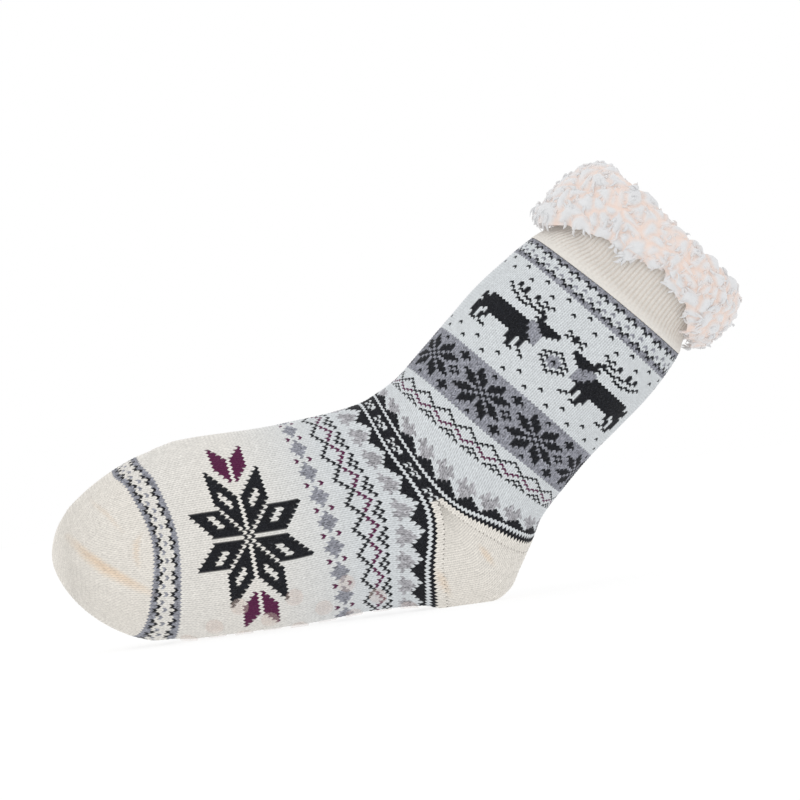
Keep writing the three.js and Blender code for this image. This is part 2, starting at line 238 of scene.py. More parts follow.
# Where named courses lie: name, course number, runs at the line wales
TOE_COURSES = [
    ("toe tip", 0, (-TOE_DEPTH,) * 5),
    ("over the toes", 12, (-46, -43, -42, -43.5, -46)),
    ("toe band front", TOE_ROWS, TOE_BAND_FRONT),
]
FOOT_COURSES = [
    ("toe band front", 0, TOE_BAND_FRONT),
    ("toe band back", 9, (-6.2, -3.6, 4.2, 11.7, 8, 0)),
    ("big star", 29.5, (37.3, 42, 46.7, 47.8, 46)),
    ("diamonds", 50.5, (72, 80, 86.3, 87, 83)),
    ("grey stars", 69.5, (104, 114, 123.5, 116.4, 111)),
    ("white chain", 75.5, (117, 126.5, 135.5, 124.7, 119)),
    ("heel turn", FOOT_ROWS, HEEL_TURN_FOOT),
]
HEEL_COURSES = [
    ("heel turn, foot side", 0, HEEL_TURN_FOOT),
    ("heel turn, leg side", HEEL_ROWS, HEEL_TURN_LEG),
]
LEG_COURSES = [
    ("heel turn", 0, HEEL_TURN_LEG),
    ("white chain", 3.5, (135, 139.7, 145.8, 160, 167)),
    ("grey stars", 9.5, (150.5, 151, 155.3, 165, 171)),
    ("lattice foot", 15, (166.5, 168, 170, 175, 178)),
    ("lattice top", 24, (178.5, 179.5, 181, 184.5, 186)),
    ("flake band foot", 26, (180.5, 182.3, 183.5, 186.3, 188.5)),
    ("flake band top", 43, (206, 208, 209.8, 211.5, 212.5)),
    ("field top", 80, (258.5, 260.8, 262.6, 264, 265)),
    ("cuff band top", LEG_ROWS, (269.8, 272.5, 276, 278.5, 280)),
]


def course_run(courses, course, wale):
    """The run of a course where it crosses a wale."""
    course, wale = np.broadcast_arrays(np.asarray(course, float), np.asarray(wale, float))
    numbers = np.array([number for _, number, _ in courses], float)
    lines = []
    for _, _, runs in courses:
        places = LINE_WALES if len(runs) == len(LINE_WALES) else BENT_LINE_WALES
        lines.append(SmoothCurve(places, runs)(from_top_line(wale)))
    lines = np.array(lines)
    i = np.clip(np.searchsorted(numbers, course, side="right") - 1, 0, len(numbers) - 2)
    t = (course - numbers[i]) / (numbers[i + 1] - numbers[i])
    low = np.take_along_axis(lines, i[None], 0)[0]
    high = np.take_along_axis(lines, i[None] + 1, 0)[0]
    return low + (high - low) * t


# Yarns: white, cream, black, grey, light grey and purple
YARNS = {
    "w": (0.75, 0.783, 0.805),
    "c": (0.9, 0.86, 0.795),
    "k": (0.011, 0.012, 0.016),
    "g": (0.317, 0.325, 0.37),
    "l": (0.44, 0.435, 0.46),
    "p": (0.11, 0.014, 0.065),
}

# Charts, one letter to a stitch, the row nearest the cuff first. A dot leaves the ground.
BAND = [
    "gggggggg",
    "kgkggkgg",
    "wkwwkwkw",
    "wwwwwwww",
    "wgwwwgww",
    "wwwgwwwg",
    "wkwwkwkw",
    "kgkggkgg",
    "gggggggg",
]
DEER = [
    ".....k.k..k.k.k.....",
    ".....k.k..k..k......",
    "...k..kk...kk.......",
    "....k...kk...k......",
    ".....kk...kkkkk.....",
    ".......kkk....k.....",
    ".............kkkkkkk",
    "..............kkkkkk",
    ".............ggkkkk.",
    "..kkkkkkkkkkkgggkk..",
    "k.kkkkkkkkkkkgggg...",
    "kkkkkkkkkkkkkkggg...",
    "kkkkkkkkkkkkkkggg...",
    ".kkkkkkkkkkkkkkgg...",
    "kkkkkkkkkkkkkkkkg...",
    "kkk.kkkkkkkkkkk.....",
    "kk..k......kk.k.....",
    "kk.kk......kk.k.....",
    "kk.k.......kk.k.....",
    ".k.k........k..k....",
    ".kk.kk......kk..k...",
]
BOW = [
    "k.k.k",
    ".kkk.",
    "k.k.k",
]
DIAMOND = [
    "...k...",
    "..k.k..",
    ".k.g.k.",
    "k.ggg.k",
    ".kgkgk.",
    "k.ggg.k",
    ".k.g.k.",
    "..k.k..",
    "...k...",
]
LATTICE = [
    "k.....",
    ".k...k",
    "..k.k.",
    "...k..",
    "..p.p.",
    ".p...p",
    "p..k..",
    "..k.k.",
    ".k.k.k",
]
GREY_DIAMOND = [
    "..g..",
    ".ggg.",
    "ggggg",
    ".ggg.",
    "..g..",
]
GREY_STAR = [
    ".l.l.",
    "lllll",
    ".lll.",
    ".lll.",
    "..l..",
]
PLUS = [
    ".k.",
    "kkk",
    ".k.",
]
# Two purple petals side by side, their feet towards the big star at the last letter
PETAL_PAIR = [
    "pppppp...",
    ".pppppp..",
    "..pppppp.",
    "...pppppp",
    ".........",
    "...pppppp",
    "..pppppp.",
    ".pppppp..",
    "pppppp...",
]
SMALL_RING = [
    ".k.",
    "k.k",
    ".k.",
]


def petal_star(half, across, along, yarn, seeds=()):
    """An eight-petal star as a chart: petals lie between the spokes and the diagonals. Across
    and along say how wide the petals that point that way get and how they slant."""
    rows = []
    for row in range(half, -half - 1, -1):
        line = ""
        for column in range(-half, half + 1):
            far, near = max(abs(row), abs(column)), min(abs(row), abs(column))
            widest, slant = along if abs(row) > abs(column) else across
            in_petal = 1 <= near <= widest and far - slant <= near <= far - 1
            line += yarn if in_petal and (far, near) not in seeds else "."
        rows.append(line)
    return rows


class Canvas:
    """The colours of a panel of knitting: one cell to a stitch, row 0 at its first course."""

    def __init__(self, rows, ground, cream_until=None):
        self.cells = np.full((rows, WALES), ground)
        self.cream_until = cream_until

    def stamp(self, chart, middle_wale, first_row, turned=False, mirrored=False, every=None):
        """Knits a chart in, centred on a wale, its lowest row at first_row, round the sock."""
        lines = chart if turned else chart[::-1]
        for repeat in range(WALES // every if every else 1):
            start = middle_wale + repeat * (every or 0) - len(chart[0]) // 2
            for i, line in enumerate(lines):
                letters = line[::-1] if mirrored else line
                for j, letter in enumerate(letters):
                    if letter != "." and 0 <= first_row + i < len(self.cells):
                        self.cells[first_row + i, (start + j) % WALES] = letter

    def rows(self, first, last, yarn):
        """Knits whole courses in one yarn."""
        self.cells[first:last + 1] = yarn


# Between the white chains over the instep: hearts on black. Beyond them: mounds of black.
CHAIN_GAP = [
    "kkkkkk",
    "kkkkkk",
    "wkkwkw",
    "wkkkwk",
    "kkkwkw",
    "kkkkkk",
]
MOUNDS = [
    "..k...",
    ".kkk..",
    "kkkkk.",
    "kkkkkk",
]


# Wales that the heel takes out of the foot and the leg, from one side's middle over the sole
# to the other's, and the wale at the middle of the near side
HEEL_WALES = slice(30, 91)
SIDE_WALE = 30

# Wales from one motif to the next
SMALL_REPEAT = 6
BAND_REPEAT = 8
FLAKE_REPEAT = 15
ONE_A_SIDE = HALF_WALES

# Cells of the big star's petals, by distance along and across them, that show the ground
STAR_SEEDS = {(7, 3), (8, 3), (8, 4), (9, 4), (9, 5), (10, 5)}


def foot_canvas():
    """From the toe band: the big star with purple petals, diamonds, lattice, grey stars, mounds
    and the first half of the chain over the instep."""
    canvas = Canvas(FOOT_ROWS, "w", cream_until=44)
    canvas.stamp(BAND, 4, 0, every=BAND_REPEAT)
    star = petal_star(15, (7, 8), (6, 9), "k", STAR_SEEDS)
    canvas.stamp(star, SIDE_WALE, 14, every=ONE_A_SIDE)
    canvas.stamp(SMALL_RING, SIDE_WALE, 28, every=ONE_A_SIDE)
    canvas.stamp(PETAL_PAIR, 13, 25, every=ONE_A_SIDE)
    canvas.stamp(PETAL_PAIR, 47, 25, mirrored=True, every=ONE_A_SIDE)
    canvas.stamp(GREY_DIAMOND, 0, 48, every=SMALL_REPEAT)
    for row in (48, 52):
        canvas.stamp(["p"], 3, row, every=SMALL_REPEAT)
    canvas.stamp(LATTICE, 6, 56, turned=True, every=SMALL_REPEAT)
    canvas.stamp(GREY_STAR, 0, 67, turned=True, every=SMALL_REPEAT)
    canvas.stamp(MOUNDS, 3, 71, turned=True, every=SMALL_REPEAT)
    canvas.rows(75, 75, "w")
    canvas.stamp(CHAIN_GAP[3:], 3, 76, every=SMALL_REPEAT)
    canvas.cells[76:, HEEL_WALES] = "c"
    canvas.cells[76, HEEL_WALES] = "k"
    return canvas


def leg_canvas():
    """From the instep: the chain's second half, mounds, grey stars, lattice, flake band, the
    field with two deer a side, and the cuff band."""
    canvas = Canvas(LEG_ROWS, "w")
    canvas.stamp(CHAIN_GAP[:3], 3, 0, every=SMALL_REPEAT)
    canvas.cells[:3, HEEL_WALES] = "c"
    canvas.cells[2, HEEL_WALES] = "k"
    canvas.rows(3, 3, "w")
    canvas.stamp(MOUNDS, 6, 4, every=SMALL_REPEAT)
    canvas.stamp(GREY_STAR, 3, 6, every=SMALL_REPEAT)
    canvas.stamp(LATTICE, 6, 15, every=SMALL_REPEAT)
    canvas.rows(26, 42, "g")
    canvas.stamp(petal_star(6, (3, 3), (3, 3), "k"), 9, 28, every=FLAKE_REPEAT)
    canvas.stamp(SMALL_RING, 9, 33, every=FLAKE_REPEAT)
    for row in (27, 41):
        canvas.stamp(["k"], 9, row, every=FLAKE_REPEAT)
    for row in (27, 39):
        canvas.stamp(PLUS, 16, row, every=FLAKE_REPEAT)
    canvas.stamp(SMALL_RING, 16, 33, every=FLAKE_REPEAT)
    for row, wale in ((45, 0), (48, 3), (75, 3), (78, 0)):
        canvas.stamp(["k"], wale, row, every=SMALL_REPEAT)
    canvas.stamp(DEER, 19, 52, every=ONE_A_SIDE)
    canvas.stamp(DEER, 43, 52, mirrored=True, every=ONE_A_SIDE)
    canvas.stamp(BOW, 31, 68, every=ONE_A_SIDE)
    canvas.stamp(DIAMOND, 31, 54, every=ONE_A_SIDE)
    canvas.stamp(BAND, 4, 80, every=BAND_REPEAT)
    return canvas


# Folds of the toe and the heel: points along the fold in x and z, its half width, its depth
FOLDS = [
    ([(-194, 60), (-187, 51), (-178, 42.5), (-166, 34), (-154, 26)], 3.0, 1.7),
    ([(-181, 77), (-173, 69), (-166, 59)], 1.3, 0.6),
    ([(-157, 57), (-160, 53), (-161, 47), (-160, 38)], 1.8, 0.9),
    ([(-14, 20), (-9, 6)], 2.4, 1.1),
    ([(9, 29), (15, 18)], 1.8, 1.1),
]

# Shallow dips that leave no crease, in the same way
DIPS = [
    ([(-196, 74), (-184, 85), (-170, 93), (-158, 98), (-144, 101)], 9.0, 3.2),
]

# Ridges stand beside a fold, by its depth and its width. The far side's folds are shallower.
FOLD_RIDGE = 0.4
RIDGE_PLACE = 2.2
FAR_FOLDS = 0.3


def pressed_in(points, lines, ridge):
    """How far lines press the knit in, with a ridge beside each. They narrow and fade out
    towards their ends."""
    offset = np.zeros(points.shape[:-1])
    flat = points[..., [0, 2]]
    for line, half_width, depth in lines:
        nearest = np.full(offset.shape, np.inf)
        share = np.zeros(offset.shape)
        for number, (a, b) in enumerate(zip(line[:-1], line[1:])):
            a, b = np.array(a), np.array(b)
            t = np.clip(((flat - a) @ (b - a)) / ((b - a) @ (b - a)), 0, 1)
            distance = np.linalg.norm(flat - a - t[..., None] * (b - a), axis=-1)
            share = np.where(distance < nearest, (number + t) / (len(line) - 1), share)
            nearest = np.minimum(nearest, distance)
        fade = np.sin(math.pi * np.clip(share, 0.04, 0.96))
        width = half_width * (0.6 + 0.4 * fade)
        trough = np.exp(-(nearest / width) ** 2)
        beside = np.exp(-((nearest - RIDGE_PLACE * width) / width) ** 2)
        offset += (ridge * beside - trough) * depth * fade ** 0.7
    return offset


def grid_normals(points, closed=True):
    """Unit normals of a grid of points, out of the sock."""
    along = np.gradient(points, axis=0)
    round_it = np.roll(points, -1, axis=1) - np.roll(points, 1, axis=1)
    if not closed:
        round_it = np.gradient(points, axis=1)
    normal = np.cross(round_it, along)
    return normal / np.maximum(np.linalg.norm(normal, axis=-1, keepdims=True), 1e-9)


def mesh_object(name, points, quads, colours, painted_shade=None):
    """A mesh object from points in millimetres and quads, with a colour to each quad or to each
    of its corners, which a painted shade and highlight at each point makes lighter or darker."""
    mesh = bpy.data.meshes.new(name)
    mesh.vertices.add(len(points))
    mesh.vertices.foreach_set("co", (points * MM).astype(np.float32).ravel())
    mesh.loops.add(quads.size)
    mesh.loops.foreach_set("vertex_index", quads.astype(np.int32).ravel())
    mesh.polygons.add(len(quads))
    mesh.polygons.foreach_set("loop_start", np.arange(0, quads.size, quads.shape[1], dtype=np.int32))
    layer = mesh.color_attributes.new("yarn", "FLOAT_COLOR", "CORNER")
    corners = np.ones((quads.size, 4), np.float32)
    if colours.ndim == 2:
        colours = np.repeat(colours[:, None], quads.shape[1], axis=1)
    corners[:, :3] = colours.reshape(-1, 3)
    # Painted shade and highlight: each corner's colour is darkened or lightened by the factor of its point
    if painted_shade is not None:
        corners[:, :3] *= painted_shade[quads.ravel()][:, None]
    layer.data.foreach_set("color", corners.ravel())
    mesh.update(calc_edges=True)
    mesh.validate()
    mesh.polygons.foreach_set("use_smooth", np.full(len(mesh.polygons), True))
    obj = bpy.data.objects.new(name, mesh)
    bpy.context.collection.objects.link(obj)
    return obj


def grid_quads(rows, columns, closed):
    """Quads of a grid of points, facing out of the sock."""
    across = columns if closed else columns - 1
    i, j = np.meshgrid(np.arange(rows - 1), np.arange(across), indexing="ij")
    low = i * columns
    high = low + columns
    after = (j + 1) % columns
    return np.stack([low + j, low + after, high + after, high + j], -1).reshape(-1, 4)


# A stitch: facets across and along it, how far its two legs slant in courses, how high they
# stand, the part of that height that lies under the fabric's mean, and the part of a leg's
# bulge that is left at its foot
STITCH_ACROSS = 4
STITCH_ALONG = 2
STITCH_SLANT = 0.72
STITCH_RELIEF = 0.38
STITCH_MEAN = 0.45
STITCH_FOOT = 0.35

# Stitches flatten over this length towards the toe tip, where the first course all but closes
TIP_LENGTH = 10.0
TIP_CLOSED = 0.999999

# Yarn colours: the white field turns cream over so many courses and by this share, every facet
# is a little uneven, grey and black more so, and the darker yarn bleeds over a stitch's edge
CREAM_BLEND_ROWS = 30
CREAM_SHARE = 0.8
UNEVEN = 0.05
MOTTLED = 0.25
BLEED = 0.88

# Painted warm shade in the creases: what red, green and blue lose at the bottom of a crease of
# full depth, where the light turns warm
CREASE_PAINTED_SHADE = np.array((-0.02, 0.12, 0.25))
FULL_CREASE = 1.6


def yarn_colours(canvas, letters):
    """The colour of each facet by the yarn of its stitch."""
    colours = np.zeros(letters.shape + (3,))
    for letter, colour in YARNS.items():
        colours[letters == letter] = colour
    if canvas.cream_until is not None:
        rows_left = canvas.cream_until - np.arange(len(letters)) // STITCH_ALONG
        cream = np.clip(rows_left / CREAM_BLEND_ROWS + 0.5, 0, 1)[:, None, None] * CREAM_SHARE
        white = (letters == "w")[..., None]
        colours = np.where(white, colours + (np.array(YARNS["c"]) - colours) * cream, colours)
    rng = np.random.default_rng(5)
    uneven = 1 + UNEVEN * rng.normal(size=letters.shape)
    for mottled in ("gl", "k"):
        uneven += np.isin(letters, list(mottled)) * MOTTLED * rng.normal(size=letters.shape)
    return colours * np.clip(uneven, 0.4, 2.0)[..., None]


def bled_corners(colours):
    """The colours of each facet's corners: beside another stitch the darker yarn bleeds over."""
    corners = np.repeat(colours[:, :, None, :], 4, axis=2)
    facet = np.arange(colours.shape[1]) % STITCH_ACROSS
    for place, step, pair in ((0, 1, (0, 3)), (STITCH_ACROSS - 1, -1, (1, 2))):
        beside = np.roll(colours, step, axis=1)
        bled = np.minimum(colours, beside) * BLEED + np.maximum(colours, beside) * (1 - BLEED)
        for corner in pair:
            corners[:, facet == place, corner] = bled[:, facet == place]
    return corners


def knit_panel(name, courses, canvas, first_wale=0, wales=WALES, sunk=0.0):
    """A panel of stocking stitch. Each stitch is two slanting legs, four columns and two rows
    of facets, whose feet point to the toe and whose head points to the cuff."""
    closed = wales == WALES
    columns = wales * STITCH_ACROSS + (0 if closed else 1)
    rows = len(canvas.cells) * STITCH_ALONG + 1
    across = first_wale + np.arange(columns)[None, :] / STITCH_ACROSS
    course = np.arange(rows)[:, None] / STITCH_ALONG
    share = np.arange(columns) % STITCH_ACROSS / STITCH_ACROSS
    slant = (0.5 - np.abs(2 * share - 1)) * STITCH_SLANT

    towards_tip = np.clip((course_run(courses, course, across) + TOE_DEPTH) / TIP_LENGTH, 0, 1)
    run = course_run(courses, course + slant * towards_tip, across)
    run = np.maximum(run, -TOE_DEPTH * TIP_CLOSED)
    skin = sock_point(run, wale_turn(run, across))
    on_leg = np.arange(columns)[None, :] % 2
    halfway = np.arange(rows)[:, None] % 2
    bulge = np.where(halfway == 1, 1.0, STITCH_FOOT)
    fold = pressed_in(skin, FOLDS, FOLD_RIDGE)
    fold = np.where(skin[..., 1] < 0, fold, FAR_FOLDS * fold)
    relief = STITCH_RELIEF * (on_leg * bulge - STITCH_MEAN) * towards_tip
    relief += fold + pressed_in(skin, DIPS, 0) - sunk
    points = skin + grid_normals(skin, closed) * relief[..., None]

    stitch_row = np.arange(rows - 1) // STITCH_ALONG
    stitch_wale = (first_wale + np.arange(wales * STITCH_ACROSS) // STITCH_ACROSS) % WALES
    colours = yarn_colours(canvas, canvas.cells[stitch_row[:, None], stitch_wale[None, :]])
    # Painted shade: the knit is coloured warmer and darker in the folds' creases, by their depth
    crease_shade = np.clip(-fold[:-1, :colours.shape[1], None] / FULL_CREASE, 0, 1)
    corners = bled_corners(colours * (1 - crease_shade * CREASE_PAINTED_SHADE))
    # Painted shade and highlight: corners on the crowns of the stitch legs are lightened, those in the
    # grooves between legs and between half-courses darkened
    painted_shade = (0.76 + 0.28 * on_leg) * (0.87 + 0.15 * halfway)
    quads = grid_quads(rows, columns, closed)
    return mesh_object(name, points.reshape(-1, 3), quads, corners.reshape(-1, 4, 3), painted_shade.ravel())


# The ribbed cuff: ribs round it, facets across one, how far it runs on under the fleece, the
# smooth swell before the ribs and the length over which they rise, and the heights of both
RIBS = 106
RIB_ACROSS = 6
CUFF_ROWS = 30
CUFF_HIDDEN = 2.0
SWELL_LENGTH = 1.0
SWELL_BLEND = 6.0
SWELL_HEIGHT = 0.35
RIB_HEIGHT = 0.3
RIB_SUNK = 0.2
# The rib's cream yarn, and the beige of the painted shade in the grooves between the ribs
RIB_CREAM = np.array((0.73, 0.7, 0.655))
RIB_GROOVE_SHADE = np.array((0.64, 0.58, 0.52))


def rib_cuff():
    """The ribbed cuff above the cuff band, with a smooth swell where it begins."""
    columns = RIBS * RIB_ACROSS
    across = np.arange(columns)[None, :] / columns * WALES
    start = course_run(LEG_COURSES, LEG_ROWS, across)
    t = np.linspace(0, 1, CUFF_ROWS)[:, None]
    run = start * (1 - t) + (RIM_RUN + CUFF_HIDDEN) * t
    skin = sock_point(run, wale_turn(run, across))
    ribbing = np.clip((run - start - SWELL_LENGTH) / SWELL_BLEND, 0, 1)
    wave = np.cos(across / WALES * RIBS * 2 * math.pi)
    relief = ribbing * (RIB_HEIGHT * wave - RIB_SUNK) + (1 - ribbing) * SWELL_HEIGHT
    points = (skin + grid_normals(skin) * relief[..., None]).reshape(-1, 3)
    # Painted shade: the grooves between the ribs are coloured beige by their depth, where the ribs have
    # risen
    groove_shade = (ribbing[:-1] * np.clip(-wave, 0, 1))[..., None]
    colours = RIB_CREAM * (1 - groove_shade) + RIB_GROOVE_SHADE * groove_shade
    return mesh_object("rib_cuff", points, grid_quads(CUFF_ROWS, columns, True), colours.reshape(-1, 3))


# The lining: points round it, rows over the toes and along the sock, and its colour
LINING_COLUMNS = 90
LINING_TOE_ROWS = 8
LINING_ROWS = 70
LINING_COLOUR = (0.78, 0.71, 0.67)


def inner_pile():
    """The pile bonded inside the sock, seen down the mouth."""
    across = np.arange(LINING_COLUMNS)[None, :] / LINING_COLUMNS * WALES
    over_toes = -TOE_DEPTH * np.linspace(1, 0.15, LINING_TOE_ROWS) ** 0.5
    over_toes[0] *= TIP_CLOSED
    run = np.concatenate([over_toes, np.linspace(0, RIM_RUN, LINING_ROWS)])[:, None]
    skin = sock_point(run, wale_turn(run, across), -WALL)
    quads = grid_quads(len(run), LINING_COLUMNS, True)[:, ::-1]
    colours = np.tile(LINING_COLOUR, (len(quads), 1))
    return mesh_object("inner_pile", skin.reshape(-1, 3), quads, colours)


# Fleece collar: how far the roll rises over the rim, and the thickness its profile is drawn for
COLLAR_RISE = 12.5
COLLAR_BODY = 10.0

# The collar's lower edge from the knitted rim, by degrees round from the front
EDGE_ANGLES = (0, 25, 55, 78, 100, 118, 140, 162, 180)
EDGE_RUNS = (-37, -33, -20, -18, -12, -13, -20, -25, -26)
LOWER_EDGE = SmoothCurve(EDGE_ANGLES, EDGE_RUNS)

# The roll's profile from deep inside the mouth (0) over its top to its lower edge (1): how far
# it stands off the knit, the run past the rim up to the top, and the share fallen after it
ROLL_PLACES = (0, 0.2, 0.34, 0.41, 0.47, 0.53, 0.6, 0.78, 0.92, 1.0)
ROLL_STANDS_OFF = (-9.0, -9.0, -6.7, -2.7, 2.0, 6.0, 8.5, 10.0, 8.6, 4.0)
ROLL_TOP = 4
ROLL_RISES = (-15, -3, 8.7, 11.9, COLLAR_RISE)
ROLL_FALLS = (0, 0.09, 0.26, 0.55, 0.85, 1.0)


def lower_edge(turn):
    """The run of the collar's lower edge past the rim, a little wavy."""
    from_front = np.abs(np.degrees(np.arctan2(np.sin(turn), np.cos(turn))))
    return LOWER_EDGE(from_front) + 1.1 * np.sin(turn * 11 + 1) + 0.9 * np.sin(turn * 27 + 4)


def collar_thickness(turn):
    """The roll's thickness, greatest at the front."""
    return 8.5 + 5.5 * np.cos(turn) ** 2 + 3 * np.maximum(0, np.cos(turn)) ** 2


def collar_roll_point(turn, t):
    """Points over the roll: t from 0 deep inside the mouth, over the top, to 1 at its edge."""
    off = np.interp(t, ROLL_PLACES, ROLL_STANDS_OFF)
    off = np.where(off > 0, off * collar_thickness(turn) / COLLAR_BODY, off)
    inside = np.interp(t, ROLL_PLACES[:ROLL_TOP + 1], ROLL_RISES)
    fallen = np.interp(t, ROLL_PLACES[ROLL_TOP:], ROLL_FALLS)
    outside = COLLAR_RISE + (lower_edge(turn) - COLLAR_RISE) * fallen
    past_rim = np.where(t < ROLL_PLACES[ROLL_TOP], inside, outside)
    return sock_point(RIM_RUN + past_rim, turn, off)


def roll_frame(turn, t):
    """Unit vectors down the roll, along the mouth and out of the pile."""
    step = 0.01
    above = collar_roll_point(turn, np.maximum(t - step, 0))
    down = collar_roll_point(turn, np.minimum(t + step, 1)) - above
    down /= np.maximum(np.linalg.norm(down, axis=-1, keepdims=True), 1e-9)
    side = collar_roll_point(turn + step, t) - collar_roll_point(turn, t)
    side /= np.linalg.norm(side, axis=-1, keepdims=True)
    out = np.cross(down, side)
    return down, side, out / np.linalg.norm(out, axis=-1, keepdims=True)


def spread_places(rng, count, tries, lowest):
    """Places spread over the roll, each the farthest of several tries from those before it."""
    turns = rng.uniform(0, 2 * math.pi, (count, tries))
    places = rng.uniform(lowest, 1.0, (count, tries))
    points = collar_roll_point(turns, places)
    chosen = np.zeros(count, dtype=int)
    kept = np.empty((count, 3))
    kept[0] = points[0, 0]
    for k in range(1, count):
        gaps = np.linalg.norm(points[k][:, None] - kept[None, :k], axis=2).min(axis=1)
        chosen[k] = gaps.argmax()
        kept[k] = points[k, chosen[k]]
    rows = np.arange(count)
    return turns[rows, chosen], places[rows, chosen]


# The pile's tufts: their number, how high they stand from the creases, how far the creases lie
# under the roll's surface, the width over which a crease rises, the reach of a tuft, how far
# tufts are warped out of round, and the strands that spread from a tuft's middle
# The pile's pale colour, and the peach of the painted shade in its creases and at the locks' roots
PALE_PILE = np.array((0.55, 0.553, 0.562))
PEACH_SHADE_PILE = np.array((0.66, 0.487, 0.4))
TUFTS = 330
TUFT_HEIGHT = 4.6
TUFT_SUNK = 2.4
TUFT_CREASE = 6.0
TUFT_REACH = 14.0
TUFT_WARP = 1.5
TUFT_STRANDS = 12
STRAND_SHARE = 0.25

tuft_rng = np.random.default_rng(21)
TUFT_TURNS, TUFT_PLACES = spread_places(tuft_rng, TUFTS, 2, 0.02)
TUFT_CENTRES = collar_roll_point(TUFT_TURNS, TUFT_PLACES)
TUFT_LEANS = tuft_rng.normal(size=(TUFTS, 2)) * (0.7, 0.9) + (0.5, 0)
TUFT_PHASES = tuft_rng.uniform(0, 2 * math.pi, TUFTS)
TUFT_DOWN, TUFT_SIDE = roll_frame(TUFT_TURNS, TUFT_PLACES)[:2]

# Points handled at once, to spare memory
POINTS_AT_ONCE = 4000


def tuft_height(points):
    """How far the tufts raise the pile, 0 in the creases between them to 1, with strands that
    spread from each tuft's middle, and which tuft is nearest."""
    heights, homes = [], []
    for part in np.array_split(points, max(1, len(points) // POINTS_AT_ONCE)):
        part = part + TUFT_WARP * np.sin(part[:, [1, 2, 0]] * 0.5 + (0, 2, 4))
        distance = np.linalg.norm(part[:, None, :] - TUFT_CENTRES[None], axis=2)
        order = np.argpartition(distance, 1, axis=1)[:, :2]
        first, second = np.take_along_axis(distance, order, 1).T
        home = np.where(first <= second, order[:, 0], order[:, 1])
        nearest, next_one = np.minimum(first, second), np.maximum(first, second)
        vector = part - TUFT_CENTRES[home]
        angle = np.arctan2((vector * TUFT_SIDE[home]).sum(1), (vector * TUFT_DOWN[home]).sum(1))
        strands = np.cos(angle * TUFT_STRANDS + TUFT_PHASES[home] + 2 * np.sin(nearest * 0.7))
        strands = strands * np.clip(nearest / 3, 0, 1)
        height = np.clip((next_one - nearest) / TUFT_CREASE, 0, 1) ** 0.7
        height = height * np.clip(1.25 - nearest / TUFT_REACH, 0, 1)
        heights.append(height * (1 - STRAND_SHARE + STRAND_SHARE * strands))
        homes.append(home)
    return np.concatenate(heights), np.concatenate(homes)


def pile_colours(peach_shade):
    """Pale pile, darkened to a peach painted shade as the share of shade nears 1."""
    return PALE_PILE * (1 - peach_shade) + PEACH_SHADE_PILE * peach_shade


def fleece_skin():
    """The skin of the fleece: soft tufts with creases between them, with painted peach shade in the
    creases.
    """
    columns = 520
    rows = 130
    turn = np.arange(columns)[None, :] / columns * 2 * math.pi
    t = np.linspace(1, 0, rows)[:, None]
    points = collar_roll_point(turn, t)
    height = tuft_height(points.reshape(-1, 3))[0].reshape(rows, columns)
    height = (height + np.roll(height, 1, 1) + np.roll(height, -1, 1)) / 3
    height[1:-1] = (height[1:-1] + height[2:] + height[:-2]) / 3
    points = points + grid_normals(points) * (height * TUFT_HEIGHT - TUFT_SUNK)[..., None]
    # Painted shade: peach where the pile sinks into the creases between tufts
    peach_shade = np.clip(0.8 - 1.7 * height[:-1], 0, 1).reshape(-1, 1)
    quads = grid_quads(rows, columns, True)
    return mesh_object("fleece_skin", points.reshape(-1, 3), quads, pile_colours(peach_shade))


# Locks of pile: how many to a mesh, segments along one, sides round it, how deep their roots
# lie, and how far a lock sways and bends down to the pile by its tip
LOCKS = 900
LOCK_SEGMENTS = 6
LOCK_SIDES = 4
LOCK_SUNK = 2.8
LOCK_SWAY = 1.2
LOCK_DROOP = 2.2


def lock_directions(rng, root, out, down, side, edge, home):
    """Unit vectors along the locks: they lie over and away from the tufts they belong to."""
    lean_down = (TUFT_LEANS[home, 0] + 0.6 * edge)[:, None]
    lean_side = TUFT_LEANS[home, 1][:, None]
    away = root - TUFT_CENTRES[home]
    away /= np.maximum(np.linalg.norm(away, axis=1, keepdims=True), 1e-6)
    direction = out * 0.1 + down * lean_down * 0.6 + side * lean_side * 0.5 + away * 0.5
    direction = direction + rng.normal(size=root.shape) * 0.1
    return direction / np.linalg.norm(direction, axis=1, keepdims=True)


def lock_facets(count):
    """Quads of the locks, whose points come lock by lock and ring by ring."""
    facets = []
    for k in range(LOCK_SEGMENTS):
        for c in range(LOCK_SIDES):
            after = (c + 1) % LOCK_SIDES
            low, high = k * LOCK_SIDES, (k + 1) * LOCK_SIDES
            facets.append((low + c, low + after, high + after, high + c))
    first_points = np.arange(count)[:, None, None] * (LOCK_SEGMENTS + 1) * LOCK_SIDES
    return (np.array(facets)[None] + first_points).reshape(-1, 4)


